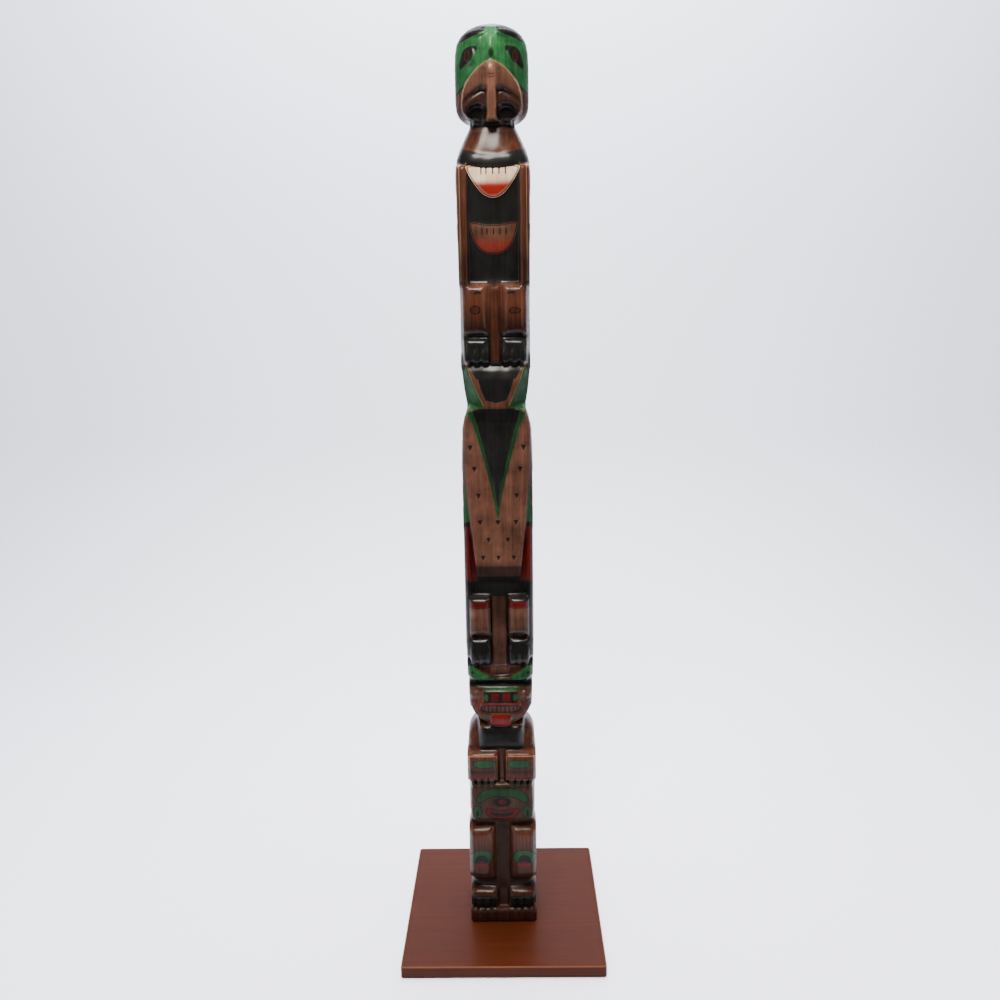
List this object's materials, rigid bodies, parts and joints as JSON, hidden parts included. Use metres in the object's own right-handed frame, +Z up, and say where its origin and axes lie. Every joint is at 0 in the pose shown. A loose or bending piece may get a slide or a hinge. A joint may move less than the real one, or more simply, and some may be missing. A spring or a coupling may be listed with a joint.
{
  "type": "totem pole",
  "caption": "Painted wooden totem pole in model size: a hook-beaked eagle over a long-beaked raven over a seated bear, on a square wooden base board.",
  "frame": {"origin": "centre of the base board's underside, which stands on the floor", "axes": "+Z up along the pole, -Y towards the viewer (the figures' faces), +X to the viewer's right"},
  "size_m": [0.41, 0.41, 1.8053],
  "materials": {
    "carved_pole": "stained, painted and varnished",
    "base_board": "stained and satin varnished"
  },
  "bodies": {
    "root": {"pole": "carved_pole", "base_board": "base_board"}
  },
  "joints": []
}
